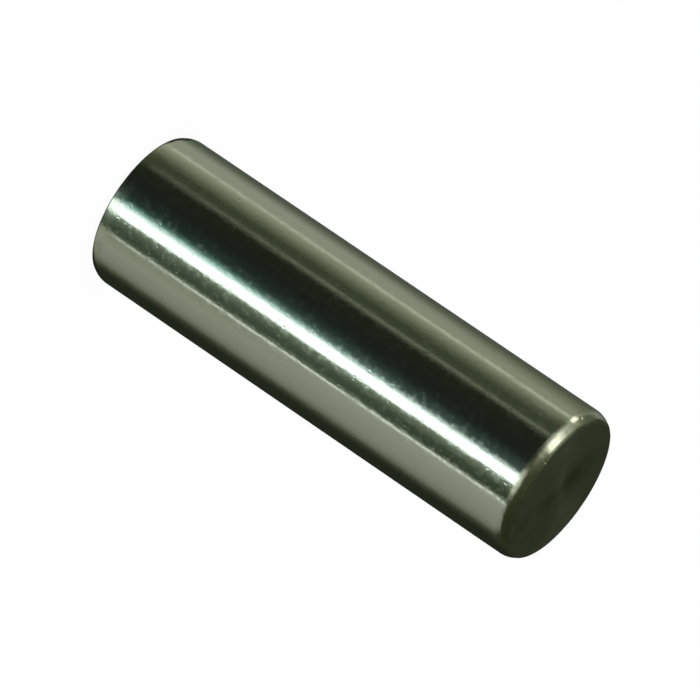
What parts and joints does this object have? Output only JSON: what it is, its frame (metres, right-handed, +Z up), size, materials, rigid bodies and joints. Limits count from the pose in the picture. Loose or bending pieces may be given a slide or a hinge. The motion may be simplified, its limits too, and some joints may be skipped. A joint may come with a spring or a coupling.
{
  "type": "piston pin",
  "caption": "Solid round piston pin of hardened steel, ground along its side and faced flat at both ends, with a short blended lead-in at each end.",
  "frame": {"origin": "centre of the lower end face, on the surface that the pin stands on", "axes": "+Z up along the pin's axis; the pin is round, so +X and +Y are any two square directions across it"},
  "size_m": [0.012, 0.012, 0.038],
  "materials": {
    "ground_steel": "hardened, ground and lapped bright on the side; faced, duller ends"
  },
  "bodies": {
    "root": {"piston_pin": "ground_steel"}
  },
  "joints": []
}
